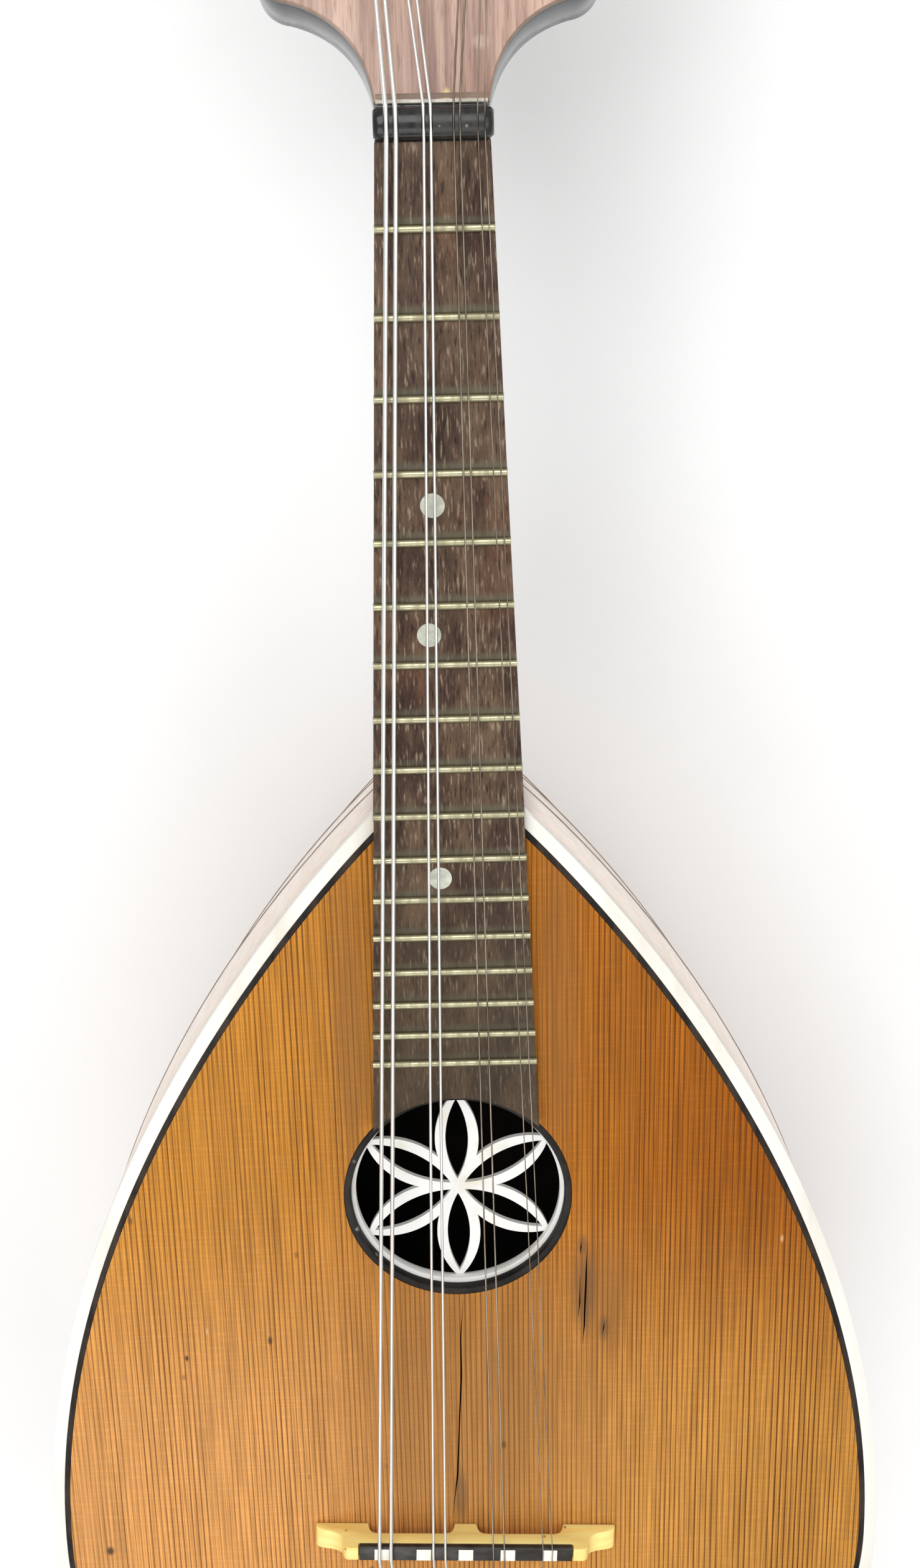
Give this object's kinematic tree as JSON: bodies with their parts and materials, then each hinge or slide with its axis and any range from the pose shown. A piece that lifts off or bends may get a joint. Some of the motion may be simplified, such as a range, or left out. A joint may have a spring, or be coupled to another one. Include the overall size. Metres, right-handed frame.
{
  "type": "bouzouki",
  "caption": "Short-necked lute of mandolin size with a ribbed bowl back, flower sound hole, floating bridge, paired strings and geared tuners that turn.",
  "frame": {"origin": "under the middle of the whole instrument, on the surface it lies on, level with the lowest rib of the bowl", "axes": "+Z points out of the soundboard, +Y runs along the neck from the tail to the headstock, +X to the right as seen from the front with the neck up"},
  "size_m": [0.2248, 0.6154, 0.131],
  "materials": {
    "spruce": "aged spruce, straight dark grain, thin worn varnish",
    "bowl_maple": "pale pinkish maple ribs, varnished",
    "ivoroid": "off-white celluloid, yellowed at the ends",
    "black_edge": "black edging, worn grey",
    "neck_wood": "hardwood stained blue-black, worn",
    "head_veneer": "reddish brown veneer, worn and hazy",
    "rosewood": "dark brown, oiled, greyed by the frets",
    "nut_black": "polished black",
    "ebony": "black, satin",
    "block_wood": "bare softwood",
    "bridge_maple": "golden maple, satin",
    "fret_brass": "drawn brass, dulled",
    "string_steel": "bright plain and wound steel",
    "nickel": "nickel plate, dulled",
    "button_ivoroid": "off-white, polished"
  },
  "bodies": {
    "root": {"bowl": "bowl_maple", "soundboard": "spruce", "binding": "ivoroid", "soundhole_ring": "black_edge", "rosette": "ivoroid", "neck": "neck_wood", "head_veneer": "head_veneer", "fingerboard": "rosewood", "nut": "nut_black", "neck_block": "block_wood", "tail_block": "block_wood", "brace_upper": "block_wood", "brace_lower": "block_wood", "tailpiece": "nickel", "end_pin": "ebony", "tuner_plate_left": "nickel", "tuner_plate_right": "nickel", "fret_01": "fret_brass", "fret_02": "fret_brass", "fret_03": "fret_brass", "fret_04": "fret_brass", "fret_05": "fret_brass", "fret_06": "fret_brass", "fret_07": "fret_brass", "fret_08": "fret_brass", "fret_09": "fret_brass", "fret_10": "fret_brass", "fret_11": "fret_brass", "fret_12": "fret_brass", "fret_13": "fret_brass", "fret_14": "fret_brass", "fret_15": "fret_brass", "fret_16": "fret_brass", "fret_17": "fret_brass", "string_1": "string_steel", "string_2": "string_steel", "string_3": "string_steel", "string_4": "string_steel", "string_5": "string_steel", "string_6": "string_steel", "string_7": "string_steel", "string_8": "string_steel"},
    "bridge": {"bridge": "bridge_maple", "bridge_saddle": "ebony"},
    "tuner_left_1_post": {"tuner_left_1_post": "nickel"},
    "tuner_left_1_button": {"tuner_left_1_button": "button_ivoroid"},
    "tuner_left_2_post": {"tuner_left_2_post": "nickel"},
    "tuner_left_2_button": {"tuner_left_2_button": "button_ivoroid"},
    "tuner_left_3_post": {"tuner_left_3_post": "nickel"},
    "tuner_left_3_button": {"tuner_left_3_button": "button_ivoroid"},
    "tuner_left_4_post": {"tuner_left_4_post": "nickel"},
    "tuner_left_4_button": {"tuner_left_4_button": "button_ivoroid"},
    "tuner_right_1_post": {"tuner_right_1_post": "nickel"},
    "tuner_right_1_button": {"tuner_right_1_button": "button_ivoroid"},
    "tuner_right_2_post": {"tuner_right_2_post": "nickel"},
    "tuner_right_2_button": {"tuner_right_2_button": "button_ivoroid"},
    "tuner_right_3_post": {"tuner_right_3_post": "nickel"},
    "tuner_right_3_button": {"tuner_right_3_button": "button_ivoroid"},
    "tuner_right_4_post": {"tuner_right_4_post": "nickel"},
    "tuner_right_4_button": {"tuner_right_4_button": "button_ivoroid"}
  },
  "joints": [
    {"name": "bridge_slide", "type": "slide", "parent": "root", "child": "bridge", "axis": [0, 1, 0], "range_m": [-0.003, 0.003]},
    {"name": "left_1_post_turn", "type": "hinge", "parent": "root", "child": "tuner_left_1_post", "pos_m": [-0.017, 0.21028, 0.11122], "axis": [0, 0.2419, 0.9703], "continuous": true},
    {"name": "left_1_button_turn", "type": "hinge", "parent": "root", "child": "tuner_left_1_button", "pos_m": [-0.017, 0.2122, 0.09183], "axis": [1, 0, 0], "continuous": true},
    {"name": "left_2_post_turn", "type": "hinge", "parent": "root", "child": "tuner_left_2_post", "pos_m": [-0.017, 0.23405, 0.1053], "axis": [0, 0.2419, 0.9703], "continuous": true},
    {"name": "left_2_button_turn", "type": "hinge", "parent": "root", "child": "tuner_left_2_button", "pos_m": [-0.017, 0.23597, 0.0859], "axis": [1, 0, 0], "continuous": true},
    {"name": "left_3_post_turn", "type": "hinge", "parent": "root", "child": "tuner_left_3_post", "pos_m": [-0.017, 0.25783, 0.09937], "axis": [0, 0.2419, 0.9703], "continuous": true},
    {"name": "left_3_button_turn", "type": "hinge", "parent": "root", "child": "tuner_left_3_button", "pos_m": [-0.017, 0.25975, 0.07998], "axis": [1, 0, 0], "continuous": true},
    {"name": "left_4_post_turn", "type": "hinge", "parent": "root", "child": "tuner_left_4_post", "pos_m": [-0.017, 0.2816, 0.09344], "axis": [0, 0.2419, 0.9703], "continuous": true},
    {"name": "left_4_button_turn", "type": "hinge", "parent": "root", "child": "tuner_left_4_button", "pos_m": [-0.017, 0.28352, 0.07405], "axis": [1, 0, 0], "continuous": true},
    {"name": "right_1_post_turn", "type": "hinge", "parent": "root", "child": "tuner_right_1_post", "pos_m": [0.017, 0.21028, 0.11122], "axis": [0, 0.2419, 0.9703], "continuous": true},
    {"name": "right_1_button_turn", "type": "hinge", "parent": "root", "child": "tuner_right_1_button", "pos_m": [0.017, 0.2122, 0.09183], "axis": [1, 0, 0], "continuous": true},
    {"name": "right_2_post_turn", "type": "hinge", "parent": "root", "child": "tuner_right_2_post", "pos_m": [0.017, 0.23405, 0.1053], "axis": [0, 0.2419, 0.9703], "continuous": true},
    {"name": "right_2_button_turn", "type": "hinge", "parent": "root", "child": "tuner_right_2_button", "pos_m": [0.017, 0.23597, 0.0859], "axis": [1, 0, 0], "continuous": true},
    {"name": "right_3_post_turn", "type": "hinge", "parent": "root", "child": "tuner_right_3_post", "pos_m": [0.017, 0.25783, 0.09937], "axis": [0, 0.2419, 0.9703], "continuous": true},
    {"name": "right_3_button_turn", "type": "hinge", "parent": "root", "child": "tuner_right_3_button", "pos_m": [0.017, 0.25975, 0.07998], "axis": [1, 0, 0], "continuous": true},
    {"name": "right_4_post_turn", "type": "hinge", "parent": "root", "child": "tuner_right_4_post", "pos_m": [0.017, 0.2816, 0.09344], "axis": [0, 0.2419, 0.9703], "continuous": true},
    {"name": "right_4_button_turn", "type": "hinge", "parent": "root", "child": "tuner_right_4_button", "pos_m": [0.017, 0.28352, 0.07405], "axis": [1, 0, 0], "continuous": true}
  ],
  "couplings": [
    {"joint": "left_1_button_turn", "follows": "left_1_post_turn", "ratio": 14},
    {"joint": "left_2_button_turn", "follows": "left_2_post_turn", "ratio": 14},
    {"joint": "left_3_button_turn", "follows": "left_3_post_turn", "ratio": 14},
    {"joint": "left_4_button_turn", "follows": "left_4_post_turn", "ratio": 14},
    {"joint": "right_1_button_turn", "follows": "right_1_post_turn", "ratio": 14},
    {"joint": "right_2_button_turn", "follows": "right_2_post_turn", "ratio": 14},
    {"joint": "right_3_button_turn", "follows": "right_3_post_turn", "ratio": 14},
    {"joint": "right_4_button_turn", "follows": "right_4_post_turn", "ratio": 14}
  ]
}
